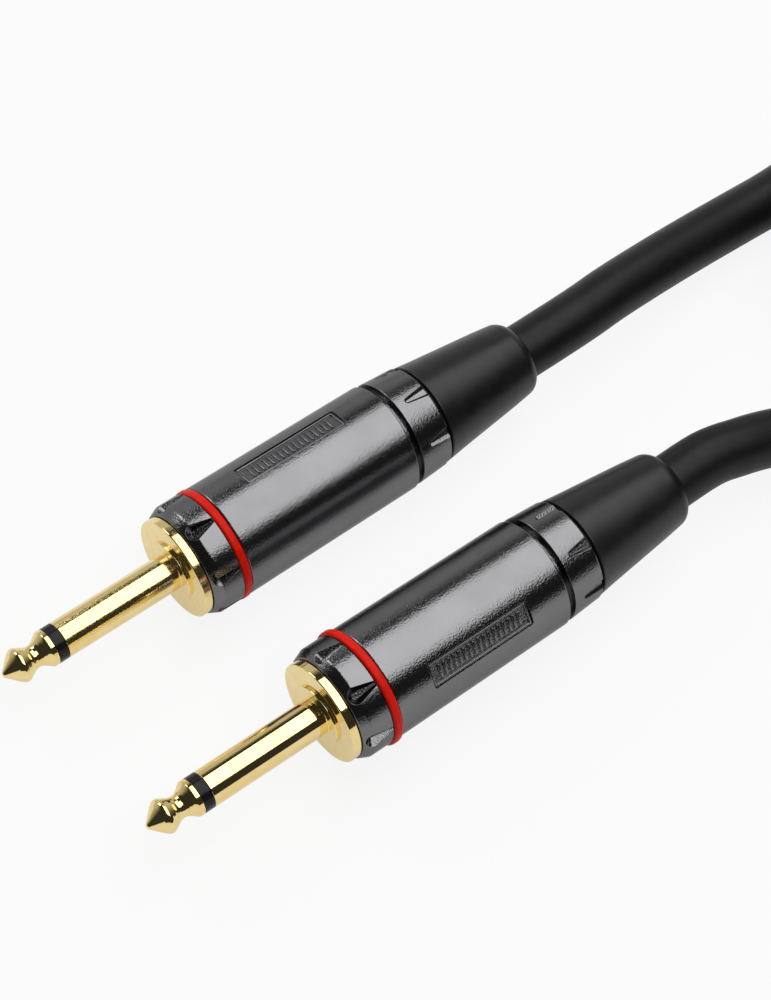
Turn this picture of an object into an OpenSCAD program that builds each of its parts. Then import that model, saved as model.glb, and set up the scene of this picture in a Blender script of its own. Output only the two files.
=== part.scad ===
// Instrument cable: a thick lead with a 6.35 mm two-pole jack plug on each end.
// The plugs lie side by side along X with their tips towards -X, on the plane z = 0.
// The origin is under the middle of the pair. Past the plugs the lead is folded into a tied hank.

/* [Plug contact] */
// Diameter of the plug sleeve, the quarter inch standard
sleeve_d = 6.35; // [6.2:0.05:6.5]
// Length from the tip to the front of the boss
contact_len = 32.6; // [30:0.1:35]
// Greatest diameter of the ball tip
ball_d = 6; // [5.6:0.05:6.2]
// Distance from the tip to the thickest part of the ball
ball_x = 3.2; // [2.8:0.1:3.6]
// Diameter of the waist behind the ball
neck_d = 3.9; // [3.4:0.05:4.4]
// Distance from the tip to the narrowest part of the waist
neck_x = 5.8; // [5.2:0.1:6.4]
// Length of the metal tip, up to the black ring
tip_len = 8.9; // [8.2:0.1:9.6]
// Width of the black ring between tip and sleeve
black_ring_w = 1.9; // [1.2:0.1:2.4]
// Diameter of the rod that carries the tip
rod_d = 2.4; // [1.8:0.1:2.8]
// Diameter of the insulating tube around the rod
tube_d = 4.4; // [3.8:0.1:4.8]
// Diameter of the boss in front of the flange
boss_d = 10.4; // [9.6:0.1:11.2]
// Length of the boss
boss_len = 0.5; // [0.3:0.05:0.8]
// Diameter of the gold flange
flange_d = 17.8; // [16.8:0.1:18.2]
// Thickness of the gold flange
flange_t = 1.6; // [1.2:0.1:2.2]
// Diameter of the threaded shank behind the flange
shank_d = 14; // [13.2:0.1:14.2]
// Length of the threaded shank
shank_len = 9; // [8:0.1:10]

/* [Terminals] */
// Diameter of the rear insulator inside the shank
bush_d = 9.8; // [9:0.1:10.4]
// Depth of the rear insulator inside the shank
bush_depth = 3.8; // [2.5:0.1:5]
// Diameter of the insulator's head
bush_head_d = 11.2; // [10.6:0.1:11.3]
// Thickness of the insulator's head
bush_head_t = 1.4; // [1:0.1:2]
// Thickness of both terminal plates
plate_t = 0.8; // [0.6:0.05:1]
// Diameter of the ground terminal's ring
ground_ring_d = 13.2; // [12.6:0.1:13.4]
// Width of the ground terminal's tongue
tongue_w = 4.6; // [3.6:0.1:4.8]
// Distance from the ground terminal's tongue to the cable's jacket
tongue_gap = 1.8; // [0.6:0.1:3]
// Diameter of the tip terminal's washer
tip_washer_d = 7.6; // [6.8:0.1:9]
// Outer diameter of the tip terminal's solder cup
cup_d = 4.8; // [4.4:0.1:5.2]
// Wall of the solder cup
cup_wall = 0.6; // [0.4:0.05:0.8]
// Length of the solder cup
cup_len = 7; // [5.5:0.1:7.6]
// Diameter of the rivet head on the rod
rivet_d = 3.4; // [3.1:0.1:3.5]
// Height of the rivet head
rivet_h = 0.8; // [0.5:0.1:1.1]

/* [Shell] */
// Diameter of the crown and of the barrel's front end
shell_d = 19.9; // [19.4:0.1:21]
// Diameter of the barrel's rear end
barrel_rear_d = 19.5; // [19:0.1:19.9]
// Length of the shell
shell_len = 41.6; // [41:0.1:46]
// Diameter of the crown's front face
crown_front_d = 18.4; // [17.8:0.1:18.8]
// Length of the crown's front chamfer
crown_chamfer = 1.6; // [1:0.1:2]
// Length of the crown, up to the coloured ring
crown_len = 5.5; // [4.6:0.1:6.4]
// Width of the coloured ring
ring_w = 1.6; // [1.2:0.1:2]
// Depth of the coloured ring's groove
ring_depth = 1; // [0.7:0.05:1.2]
// How far the first plug's ring stands proud
ring_proud_a = 0.15; // [0.05:0.05:0.6]
// How far the second plug's ring stands proud
ring_proud_b = 0.45; // [0.05:0.05:0.6]
// Rounding of the barrel's edges
edge_r = 0.4; // [0.2:0.05:0.6]
// Bore of the shell behind its thread
liner_bore_d = 15.4; // [15.2:0.1:16]
// Number of notches around the crown and the collar
notch_count = 7; // [5:1:9]
// Radius of a crown notch at its wide front end
notch_r = 1.2; // [0.9:0.05:1.5]
// Depth of a crown notch at its wide front end
notch_depth = 1; // [0.6:0.05:1.1]
// Radius of a crown notch at its narrow end, at the coloured ring
notch_tail_r = 0.45; // [0.3:0.05:0.8]

/* [Panel] */
// Length of the recessed panel
panel_len = 20.1; // [16:0.1:24]
// Width of the recessed panel
panel_w = 4.6; // [3.6:0.1:5.6]
// Distance from the coloured ring to the panel
panel_gap = 7; // [5:0.1:9]
// Depth of the panel's floor
panel_depth = 0.35; // [0.2:0.05:0.5]
// Space between the panel's walls and its bars
panel_rim = 0.6; // [0.3:0.05:0.9]
// Number of plain bars on the floor
bar_count = 11; // [5:1:13]
// Width of each bar
bar_w = 0.7; // [0.5:0.05:0.9]
// Turn of the first plug's panel away from the top
panel_turn_a = -14; // [-60:1:60]
// Turn of the second plug's panel away from the top
panel_turn_b = 58; // [-60:1:60]

/* [Collar and boot] */
// Dark gap between the barrel and the collar
collar_gap = 1.2; // [0.8:0.1:1.6]
// Diameter of the collar's shoulder inside the gap
shoulder_d = 17.3; // [16.9:0.1:18.6]
// Diameter of the collar's front edge
collar_d = 19.1; // [18.9:0.1:19.5]
// Diameter of the collar's rear edge
collar_rear_d = 18.3; // [18.1:0.1:18.6]
// Length of the collar's grip
collar_len = 6.2; // [5.4:0.1:7]
// Diameter of the collar's threaded nose
nose_d = 16.5; // [16.3:0.1:16.8]
// Length of the collar's threaded nose
nose_len = 7; // [6:0.1:7.4]
// Bore of the collar's nose
nose_bore_d = 14; // [13.6:0.1:14.4]
// Width of a collar notch at its round front end
collar_notch_front_w = 0.9; // [0.6:0.1:1.4]
// Width of a collar notch at its open rear end
collar_notch_rear_w = 1.9; // [1.4:0.1:2.6]
// Depth of a collar notch at its front end
collar_notch_depth = 0.35; // [0.2:0.05:0.5]
// Depth of a collar notch at its rear end
collar_notch_rear_depth = 0.55; // [0.3:0.05:0.7]
// Distance from the collar's front edge to its notches
collar_notch_gap = 1.9; // [1.5:0.1:2.6]
// Diameter of the boot at the collar
boot_d = 17.9; // [17.2:0.1:18]
// Diameter of the boot at its rear end
boot_end_d = 13.6; // [12.6:0.1:14.6]
// Length of the boot behind the collar
boot_len = 21.2; // [18:0.1:24]
// Rounding of the boot's rear end
boot_round = 2.3; // [1.8:0.1:2.8]
// Diameter of the boot's spigot inside the collar
spigot_d = 13.4; // [12.6:0.1:13.8]
// Height of the bead that holds the boot in the collar
spigot_bead_h = 0.7; // [0.4:0.05:0.9]
// Length of the boot's spigot
spigot_len = 5; // [4:0.1:5.4]

/* [Strain relief and liner] */
// Outer diameter of the chuck's body
chuck_d = 15.2; // [14.8:0.1:15.2]
// Length of the chuck's body
chuck_body_len = 8; // [6:0.1:8.1]
// Length of the chuck's jaws
jaw_len = 6.2; // [5:0.1:6.6]
// Diameter of the jaws at their root
jaw_d = 13.4; // [12.6:0.1:13.4]
// Diameter of the jaws at their end
jaw_end_d = 12; // [11.6:0.1:12.4]
// Number of slits between the jaws
slit_count = 4; // [3:1:6]
// Width of each slit
slit_w = 0.9; // [0.6:0.1:1.4]
// Wall of the insulating liner
liner_wall = 0.5; // [0.4:0.05:0.55]
// Distance from the shank's end to the liner
liner_gap = 1.5; // [1.1:0.1:4]

/* [Cable] */
// Diameter of the cable
cable_d = 9.8; // [9.2:0.1:9.9]
// Diameter of the insulated inner core
core_d = 3.4; // [2.8:0.1:3.8]
// Diameter of the bare inner conductor
wire_d = 1.6; // [1.2:0.1:2]
// Diameter of the twisted shield strand
strand_d = 1.8; // [1.4:0.1:2]
// Length of bare wire between the solder cup and the core's insulation
bare_len = 1.6; // [1:0.1:3]

/* [Layout] */
// Distance between the axes of the two plugs as they lie
plug_space = 36.7; // [36:0.1:37.5]
// How far the second plug lies behind the first
plug_shift = 1.5; // [0:0.1:3]

/* [Hank and tie] */
// Length of the hank's straight runs
run_len = 82; // [78:1:86]
// Radius of the innermost fold
fold_r = 29.5; // [29.4:0.1:30.5]
// Sideways step between neighbouring loops
loop_step = 10.7; // [10.6:0.05:10.9]
// Upward step between layers
layer_step = 10.3; // [10.25:0.05:10.8]
// How far the tie draws each run in
waist = 3; // [2:0.5:3.5]
// Width of the hook-and-loop tie
tie_w = 20; // [14:1:26]
// Thickness of the tie
tie_t = 1.4; // [1:0.1:1.6]
// Length of the tie's lapped tail
tail_len = 46; // [30:1:56]

/* [Hidden] */
$fn = 96;

// Clearances
press_gap = 0.03;     // around pieces that are pressed together
thread_gap = 0.05;    // around threads and turning fits
slide_gap = 0.1;      // around the chuck, the liner and the cable's end
boot_gap = 0.15;      // between the boot's bore and the cable
seat_gap = 0.05;      // between faces that a thread brings together
tie_gap = 0.3;        // between the tie and the cable
cut = 1;              // overshoot of a cutting tool

// Stations along the plug, from its tip
sleeve_x = tip_len + black_ring_w;
flange_x = contact_len + boss_len;
shank_x = flange_x + flange_t;
shank_end = shank_x + shank_len;
bush_x = shank_end - bush_depth;
bush_head_x = shank_end + plate_t;
tip_plate_x = bush_head_x + bush_head_t;
cup_x = tip_plate_x + plate_t;
cup_open_x = cup_x + rivet_h + 0.4;
cup_end = cup_x + cup_len;
shell_x = shank_x + seat_gap;
shell_end = shell_x + shell_len;
ring_x = shell_x + crown_len;
barrel_x = ring_x + ring_w;
panel_x = barrel_x + panel_gap;
collar_x = shell_end + collar_gap;
collar_end = collar_x + collar_len;
shoulder_x = shell_end + seat_gap;
nose_x = shoulder_x - nose_len;
boot_x = collar_end + seat_gap;
boot_end = boot_x + boot_len;
spigot_x = boot_x - spigot_len;
chuck_x = nose_x - seat_gap - seat_gap - chuck_body_len;
chuck_end = chuck_x + chuck_body_len + jaw_len;
liner_x = shank_end + liner_gap;
liner_end = chuck_x - slide_gap;
jacket_x = chuck_x - 1;
core_end = cup_end + bare_len;
tongue_end = jacket_x - tongue_gap;
joint_x = boot_end - 25;

// Widths and heights
thread_bore_d = shank_d + 2 * thread_gap;
nose_seat_d = nose_d + 2 * thread_gap;
cable_bore_d = cable_d + 2 * slide_gap;
boot_bore_d = cable_d + 2 * boot_gap;
cup_bore_d = cup_d - 2 * cup_wall;
tongue_z = -ground_ring_d / 2 + 0.1;
strand_z = tongue_z + plate_t + strand_d / 2 + press_gap;
strand_root_z = -(core_d + strand_d) / 2 - 0.6;
notch_pitch = 360 / notch_count;

// Places of the two plugs: the origin is under the middle of the box around them both
ring_proud = [ring_proud_a, ring_proud_b];
plug_z = [shell_d / 2 + ring_proud_a, shell_d / 2 + ring_proud_b];
first_tip_x = -(boot_end + plug_shift) / 2;
plug_tip_x = [first_tip_x, first_tip_x + plug_shift];
first_y = (plug_space - plug_z[0] + plug_z[1]) / 2;
plug_y = [first_y, first_y - plug_space];
panel_turn = [panel_turn_a, panel_turn_b];

// The hank's places: middle line, ends of the runs, straight lead and lowest layer
hank_y = -22;
run_x0 = 146;
run_x1 = run_x0 + run_len;
lead_len = 10;
bottom_z = cable_d / 2;

// The hank's winding: each half loop is one straight run and one fold
rings_per_loop = 24;
run_rings = 5;
run_share = run_rings / rings_per_loop;
half_share = 0.5;
near_tie = 0.5 - tie_w / run_len / 2;
tie_pull = pow(sin(180 * near_tie), 2);
lift = (tie_t + tie_gap) / tie_pull;
turns = 5.5 + run_share;
start_loops = 1.5;
end_loops = 1;
loop_sides = 6;
run_sides = 12;

// Routes of the two free runs, from inside the boot to the hank, which they meet square
square_x = run_x0 - lead_len - 1.5;
first_z = plug_z[0];
second_z = plug_z[1];
hank_in_y = hank_y + fold_r + start_loops * loop_step;
hank_out_y = hank_y - fold_r - end_loops * loop_step;
top_z = bottom_z + 3 * layer_step;
route_a = [
    [plug_tip_x[0] + joint_x, plug_y[0], first_z], [40, plug_y[0], first_z],
    [52, plug_y[0], first_z], [62, 18.6, first_z], [68, 18.9, 9.9], [74, 19.4, 9.6],
    [84, 20.2, 8.4], [94, 20.9, 7], [104, 21.3, 5.8], [114, 21.4, 5.1],
    [123, 22, bottom_z], [129, 22.9, bottom_z], [square_x, hank_in_y, bottom_z],
    [run_x0 - lead_len, hank_in_y, bottom_z]
];
route_b = [
    [plug_tip_x[1] + joint_x, plug_y[1], second_z], [42, plug_y[1], second_z],
    [52, plug_y[1], second_z], [62, plug_y[1], second_z], [68, -19.1, 9.6], [74, -20.2, 8.3],
    [80, -21.9, 6.6], [86, -25.8, 5.2], [91, -31.6, 5.4], [95, -38, 7.8], [99, -45.6, 12.4],
    [104, -52.8, 18.6], [111, -58.4, 25.4], [119, -61.2, 31.4], [127, -62, 34.9],
    [square_x, hank_out_y, top_z], [run_x0 - lead_len, hank_out_y, top_z]
];

// ---- helpers ----

// Points of an arc in a profile, from angle a0 to a1
function arc(c, r, a0, a1, n = 6) =
    [for (i = [0 : n]) let (a = a0 + (a1 - a0) * i / n) [c[0] + r * cos(a), c[1] + r * sin(a)]];

// Revolves a profile of [radius, distance] points around the plug's axis
module turned(points) {
    rotate([90, 0, 90]) rotate_extrude() polygon(points);
}

// A rod along the plug's axis
module rod(x0, x1, d) {
    translate([x0, 0, 0]) rotate([0, 90, 0]) cylinder(h = x1 - x0, d = d);
}

// A ring along the plug's axis
module tube(x0, x1, outer, bore) {
    difference() {
        rod(x0, x1, outer);
        rod(x0 - cut, x1 + cut, bore);
    }
}

module at_plug(i) {
    translate([plug_tip_x[i], plug_y[i], plug_z[i]]) children();
}

// Sweeps a round section of n sides along a list of points
function unit(v) = v / norm(v);
function heading(p, i) =
    i == 0 ? unit(p[1] - p[0])
    : i == len(p) - 1 ? unit(p[i] - p[i - 1])
    : unit(unit(p[i + 1] - p[i]) + unit(p[i] - p[i - 1]));
function section(p, i, r, n) =
    let (t = heading(p, i), side = unit(cross([0, 0, 1], t)), up = cross(t, side))
    [for (k = [0 : n - 1]) let (a = 360 * (k + 0.5) / n) p[i] + r * (cos(a) * side + sin(a) * up)];
module swept(p, d, n) {
    rings = [for (i = [0 : len(p) - 1]) each section(p, i, d / 2, n)];
    last = (len(p) - 1) * n;
    walls = [
        for (i = [0 : len(p) - 2], k = [0 : n - 1])
            let (a = i * n + k, b = i * n + (k + 1) % n)
            each [[a, a + n, b], [b, a + n, b + n]]
    ];
    caps = [
        for (k = [1 : n - 2]) each [[0, k, k + 1], [last, last + k + 1, last + k]]
    ];
    polyhedron(rings, concat(walls, caps));
}

// ---- contacts and terminals ----

module tip_contact() {
    nose_r = 1.1;
    shoulder_x0 = tip_len - 1.1;
    color("goldenrod") turned(concat(
        [[0, 0]],
        arc([ball_d / 2 - nose_r - 1.15, nose_r], nose_r, -90, -35, 4),
        arc([ball_d / 2 - 0.9, ball_x], 0.9, -30, 42, 6),
        [[neck_d / 2 + 0.12, neck_x - 0.35], [neck_d / 2, neck_x], [neck_d / 2 + 0.12, neck_x + 0.4]],
        [[sleeve_d / 2 - 0.15, shoulder_x0], [sleeve_d / 2, shoulder_x0 + 0.25]],
        [[sleeve_d / 2, tip_len], [rod_d / 2, tip_len], [rod_d / 2, cup_x]],
        [[rivet_d / 2, cup_x], [rivet_d / 2 - 0.4, cup_x + rivet_h], [0, cup_x + rivet_h]]
    ));
}

module tip_insulator() {
    rod_hole = rod_d / 2 + press_gap;
    color([0.08, 0.08, 0.09]) turned([
        [rod_hole, tip_len], [sleeve_d / 2, tip_len], [sleeve_d / 2, sleeve_x],
        [tube_d / 2, sleeve_x], [tube_d / 2, bush_x], [rod_hole, bush_x]
    ]);
}

module sleeve_contact() {
    tube_hole = tube_d / 2 + press_gap;
    bush_hole = bush_d / 2 + press_gap;
    edge = 0.15;
    relief = 0.5;
    color("goldenrod") turned([
        [tube_hole, sleeve_x], [sleeve_d / 2, sleeve_x], [sleeve_d / 2, contact_len],
        [boss_d / 2 - edge, contact_len], [boss_d / 2, contact_len + edge], [boss_d / 2, flange_x],
        [flange_d / 2 - 0.2, flange_x], [flange_d / 2, flange_x + 0.2],
        [flange_d / 2, shank_x - 0.2], [flange_d / 2 - 0.2, shank_x],
        [shank_d / 2 - relief, shank_x], [shank_d / 2 - relief, shank_x + relief],
        [shank_d / 2, shank_x + 2 * relief], [shank_d / 2, shank_end - relief],
        [shank_d / 2 - relief, shank_end], [bush_hole, shank_end], [bush_hole, bush_x],
        [tube_hole, bush_x]
    ]);
}

module rear_insulator() {
    rod_hole = rod_d / 2 + press_gap;
    color([0.1, 0.1, 0.11]) turned([
        [rod_hole, bush_x], [bush_d / 2, bush_x], [bush_d / 2, bush_head_x],
        [bush_head_d / 2, bush_head_x], [bush_head_d / 2, tip_plate_x], [rod_hole, tip_plate_x]
    ]);
}

module tip_terminal() {
    color("goldenrod") difference() {
        union() {
            rod(tip_plate_x, cup_x, tip_washer_d);
            rod(tip_plate_x, cup_end, cup_d);
        }
        rod(tip_plate_x - cut, cup_x + cut, rod_d + 2 * press_gap);
        rod(cup_x, cup_end + cut, cup_bore_d);
        translate([cup_open_x, -cup_d, 0]) cube([cup_len, 2 * cup_d, cup_d]);
    }
}

module ground_terminal() {
    color("goldenrod") {
        tube(shank_end, shank_end + plate_t, ground_ring_d, bush_d + 2 * press_gap);
        translate([shank_end, -tongue_w / 2, tongue_z])
            cube([tongue_end - shank_end, tongue_w, plate_t]);
    }
}

// ---- wires ----

module core_wire() {
    color("ivory") rod(core_end, jacket_x, core_d);
    color("peru") rod(cup_open_x + 0.4, core_end, wire_d);
}

module shield_wire() {
    bend_x = jacket_x - 3.2;
    drop = strand_root_z - strand_z;
    slope = atan2(drop, jacket_x - bend_x);
    color("peru") {
        translate([0, 0, strand_z]) rod(shank_end + plate_t + 4, bend_x, strand_d);
        translate([bend_x, 0, strand_z]) sphere(d = strand_d);
        intersection() {
            translate([bend_x, 0, strand_z]) rotate([0, -slope, 0]) rod(0, 6, strand_d);
            translate([bend_x, -strand_d, -20]) cube([jacket_x - bend_x, 2 * strand_d, 40]);
        }
    }
}

module solder() {
    fill_top = wire_d / 2 + 0.2;
    blob_d = 4;
    blob_h = 2.3;
    blob_x = shank_end + plate_t + 6;
    color("silver") {
        difference() {
            rod(cup_open_x + 0.3, cup_end - 0.3, cup_bore_d - 2 * press_gap);
            rod(cup_x, cup_end + cut, wire_d + 2 * press_gap);
            translate([cup_x, -cup_d, fill_top]) cube([cup_len, 2 * cup_d, cup_d]);
        }
        difference() {
            translate([blob_x, 0, tongue_z + plate_t + press_gap])
                cylinder(h = blob_h, d1 = blob_d, d2 = 3);
            translate([0, 0, strand_z]) rod(blob_x - 5, blob_x + 5, strand_d + 2 * press_gap);
        }
    }
}

module cable_end() {
    color([0.2, 0.2, 0.21]) rod(jacket_x, joint_x, cable_d);
}

// ---- strain relief and liner ----

module liner() {
    outer = liner_bore_d - 2 * slide_gap;
    color([0.85, 0.85, 0.8]) tube(liner_x, liner_end, outer, outer - 2 * liner_wall);
}

module chuck() {
    jaw_x = chuck_x + chuck_body_len;
    slit_x = chuck_x + 3;
    color([0.16, 0.16, 0.17]) difference() {
        turned([
            [cable_bore_d / 2, chuck_x], [chuck_d / 2 - 0.3, chuck_x], [chuck_d / 2, chuck_x + 0.3],
            [chuck_d / 2, jaw_x], [jaw_d / 2, jaw_x],
            [jaw_end_d / 2, chuck_end], [cable_bore_d / 2, chuck_end]
        ]);
        for (k = [0 : slit_count - 1])
            rotate([360 * k / slit_count, 0, 0]) translate([slit_x, -slit_w / 2, 0])
                cube([chuck_end - slit_x + cut, slit_w, chuck_d]);
    }
}

// ---- shell, ring and collar ----

// One crown notch at the top: round and wide at its front, narrow at the coloured ring
module crown_notch() {
    front = shell_x + crown_chamfer + 0.15;
    drop = notch_r - notch_depth;
    translate([front, 0, shell_d / 2 + drop]) {
        sphere(r = notch_r, $fn = 48);
        rotate([0, 90, 0])
            cylinder(h = ring_x - front, r1 = notch_r, r2 = notch_tail_r, $fn = 48);
    }
}

// One collar notch at the top: a flat floor that falls to the rear between spreading walls,
// with a narrow round front and an open rear end
module collar_notch() {
    front_r = collar_notch_front_w / 2;
    front = collar_x + collar_notch_gap;
    length = collar_end - front;
    surface_drop = (collar_d - collar_rear_d) / 2 / collar_len;
    front_z = collar_d / 2 - surface_drop * collar_notch_gap - collar_notch_depth;
    rear_z = collar_rear_d / 2 - collar_notch_rear_depth;
    fall = atan2(front_z - rear_z, length);
    spread = (collar_notch_rear_w / 2 - front_r) / length;
    rear_w = front_r + spread * (length + cut);
    translate([front, 0, front_z]) rotate([0, fall, 0]) linear_extrude(2) {
        translate([front_r, 0]) circle(r = front_r, $fn = 48);
        polygon([
            [front_r, -front_r], [length + cut, -rear_w], [length + cut, rear_w], [front_r, front_r]
        ]);
    }
}

// The panel's sunken floor, with a plain row of bars left standing on it
module panel_cut() {
    floor_d = (shell_d + barrel_rear_d) / 2 - 2 * panel_depth;
    bar_pitch = (panel_len - 2 * panel_rim) / (bar_count + 1);
    bar_span = panel_w - 2 * panel_rim;
    difference() {
        translate([panel_x, -panel_w / 2, 0]) cube([panel_len, panel_w, shell_d]);
        rod(panel_x - cut, panel_x + panel_len + cut, floor_d);
        for (k = [1 : bar_count])
            translate([panel_x + panel_rim + k * bar_pitch - bar_w / 2, -bar_span / 2, 0])
                cube([bar_w, bar_span, shell_d]);
    }
}

module shell(i) {
    groove_r = shell_d / 2 - ring_depth;
    barrel_r = barrel_rear_d / 2;
    seat_x = nose_x - seat_gap;
    thread_end = shank_end + 0.3;
    color([0.13, 0.13, 0.14]) rotate([panel_turn[i], 0, 0]) difference() {
        turned(concat(
            [[thread_bore_d / 2, shell_x], [crown_front_d / 2 - 0.15, shell_x]],
            [[crown_front_d / 2, shell_x + 0.15], [shell_d / 2, shell_x + crown_chamfer]],
            [[shell_d / 2, ring_x], [groove_r, ring_x], [groove_r, barrel_x]],
            arc([shell_d / 2 - edge_r, barrel_x + edge_r], edge_r, -90, 0, 4),
            arc([barrel_r - edge_r, shell_end - edge_r], edge_r, 0, 90, 4),
            [[nose_seat_d / 2, shell_end], [nose_seat_d / 2, seat_x], [liner_bore_d / 2, seat_x]],
            [[liner_bore_d / 2, thread_end + 0.6], [thread_bore_d / 2, thread_end]]
        ));
        for (k = [0 : notch_count - 1])
            rotate([(k + 0.5) * notch_pitch, 0, 0]) crown_notch();
        panel_cut();
    }
}

module colour_ring(i) {
    inner = shell_d / 2 - ring_depth + press_gap;
    outer = shell_d / 2 + ring_proud[i];
    x0 = ring_x + press_gap;
    x1 = barrel_x - press_gap;
    round_r = 0.35;
    color([0.85, 0.1, 0.06]) turned(concat(
        [[inner, x0]],
        arc([outer - round_r, x0 + round_r], round_r, -90, 0, 4),
        arc([outer - round_r, x1 - round_r], round_r, 0, 90, 4),
        [[inner, x1]]
    ));
}

module collar(i) {
    bore = spigot_d / 2 + slide_gap;
    groove = bore + spigot_bead_h;
    bead_x = spigot_x + 1;
    back_x = spigot_x - slide_gap;
    wedge_r = cable_bore_d / 2 + 0.8;
    color([0.13, 0.13, 0.14]) rotate([panel_turn[i], 0, 0]) difference() {
        turned([
            [nose_bore_d / 2, nose_x], [nose_d / 2 - 0.3, nose_x], [nose_d / 2, nose_x + 0.3],
            [nose_d / 2, shoulder_x], [shoulder_d / 2, shoulder_x], [shoulder_d / 2, collar_x],
            [collar_d / 2 - edge_r, collar_x], [collar_d / 2 - 0.1, collar_x + 0.12],
            [collar_d / 2, collar_x + edge_r],
            [collar_rear_d / 2 + 0.1, collar_end - 0.4], [collar_rear_d / 2 - 0.15, collar_end],
            [bore, collar_end], [bore, bead_x + 1 + slide_gap], [groove, bead_x + 1 + slide_gap],
            [groove, bead_x - slide_gap], [bore, bead_x - slide_gap], [bore, back_x],
            [wedge_r, back_x], [nose_bore_d / 2, back_x - 2]
        ]);
        for (k = [0 : notch_count - 1])
            rotate([(k + 0.5) * notch_pitch, 0, 0]) collar_notch();
    }
}

module boot() {
    bore = boot_bore_d / 2;
    lip_r = bore + 0.3;
    round_r = boot_end_d / 2 - boot_round;
    lip_angle = acos((lip_r - round_r) / boot_round);
    bead_x = spigot_x + 1;
    color([0.22, 0.22, 0.23]) turned(concat(
        [[bore, spigot_x], [spigot_d / 2, spigot_x], [spigot_d / 2, bead_x]],
        [[spigot_d / 2 + spigot_bead_h - slide_gap, bead_x + 0.2]],
        [[spigot_d / 2 + spigot_bead_h - slide_gap, bead_x + 1], [spigot_d / 2, bead_x + 1]],
        [[spigot_d / 2, boot_x], [boot_d / 2 - 0.2, boot_x], [boot_d / 2, boot_x + 0.2]],
        arc([round_r, boot_end - boot_round * sin(lip_angle)], boot_round, 6, lip_angle, 8),
        [[bore, boot_end - 0.3]]
    ));
}

// ---- free cable, hank and tie ----

// The hank's spiral, in loops outside the innermost one, at u turns from its start.
// It winds inwards, holds while it climbs along a run, and winds outwards again.
function spiral(u) =
    u < 1.5 ? start_loops - u
    : u < 1.5 + run_share ? 0
    : u < 3 ? u - 1.5 - run_share
    : u < 3 + run_share ? start_loops - run_share
    : u < 4.5 ? 4.5 - u
    : u < 4.5 + run_share ? 0
    : u - 4.5 - run_share;
function smooth(t) = t <= 0 ? 0 : t >= 1 ? 1 : t * t * (3 - 2 * t);
function layer(u) =
    smooth((u - 1.5) / run_share) + smooth((u - 3) / run_share) + smooth((u - 4.5) / run_share);

// A point of the hank at u turns: a run, a fold, the run back and the other fold
function hank_point(u) =
    let (
        v = u - floor(u),
        far = v >= half_share,
        w = far ? v - half_share : v,
        on_run = w < run_share + 0.001,
        f = on_run ? w / run_share : (w - run_share) / (half_share - run_share),
        r = fold_r + loop_step * spiral(u),
        pull = on_run ? pow(sin(180 * f), 2) : 0,
        side = far ? -1 : 1,
        x = on_run ? (far ? run_x1 - f * run_len : run_x0 + f * run_len)
            : (far ? run_x0 - r * sin(180 * f) : run_x1 + r * sin(180 * f)),
        y = on_run ? side * (r - waist * pull) : side * r * cos(180 * f)
    )
    [x, hank_y + y, bottom_z + layer_step * layer(u) + lift * pull];

hank_rings = round(turns * rings_per_loop);
hank_points = concat(
    [[run_x0 - lead_len, hank_in_y, bottom_z]],
    [for (k = [0 : hank_rings]) hank_point(k / rings_per_loop)],
    [[run_x0 - lead_len, hank_out_y, top_z]]
);

// Least gap between any two loops, from points to the stretches between points
function to_stretch(p, a, b) =
    let (ab = b - a, t = max(0, min(1, (p - a) * ab / (ab * ab)))) norm(p - a - t * ab);
function least_gap(p, skip, d) =
    min([
        for (i = [0 : len(p) - 1], j = [i + skip : 1 : len(p) - 2])
            to_stretch(p[i], p[j], p[j + 1])
    ]) - d;
function route_length(p, i = 0) =
    i >= len(p) - 1 ? 0 : norm(p[i + 1] - p[i]) + route_length(p, i + 1);
echo(hank_gap = least_gap(hank_points, round(rings_per_loop / 2), cable_d));
echo(cable_length = route_length(route_a) + route_length(hank_points) + route_length(route_b)
    + 2 * (joint_x - jacket_x));

module cable_run(route) {
    color([0.2, 0.2, 0.21]) swept(route, cable_d, run_sides);
}

module cable_hank() {
    color([0.2, 0.2, 0.21]) swept(hank_points, cable_d, loop_sides);
}

// A rounded rectangle made of squares and circles
module rounded_rect(w, h, r) {
    translate([r, 0]) square([w - 2 * r, h]);
    translate([0, r]) square([w, h - 2 * r]);
    for (x = [r, w - r], y = [r, h - r]) translate([x, y]) circle(r = r);
}

module cable_tie() {
    mid_x = run_x0 + run_len / 2;
    y0 = hank_out_y + loop_step * near_tie * run_share + waist * tie_pull - cable_d / 2 - tie_gap;
    y1 = hank_in_y - loop_step * near_tie * run_share - waist * tie_pull + cable_d / 2 + tie_gap;
    inner_w = y1 - y0;
    inner_h = cable_d + 3 * layer_step + lift + tie_gap - tie_t;
    outer_h = inner_h + 2 * tie_t;
    corner_r = 5;
    color([0.12, 0.12, 0.13])
        translate([mid_x - tie_w / 2, 0, 0]) rotate([90, 0, 90]) linear_extrude(tie_w) {
            difference() {
                translate([y0 - tie_t, 0]) rounded_rect(inner_w + 2 * tie_t, outer_h, corner_r + tie_t);
                translate([y0, tie_t]) rounded_rect(inner_w, inner_h, corner_r);
            }
            translate([y1 - corner_r - tail_len, outer_h - 0.01]) square([tail_len, tie_t]);
        }
}

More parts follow.
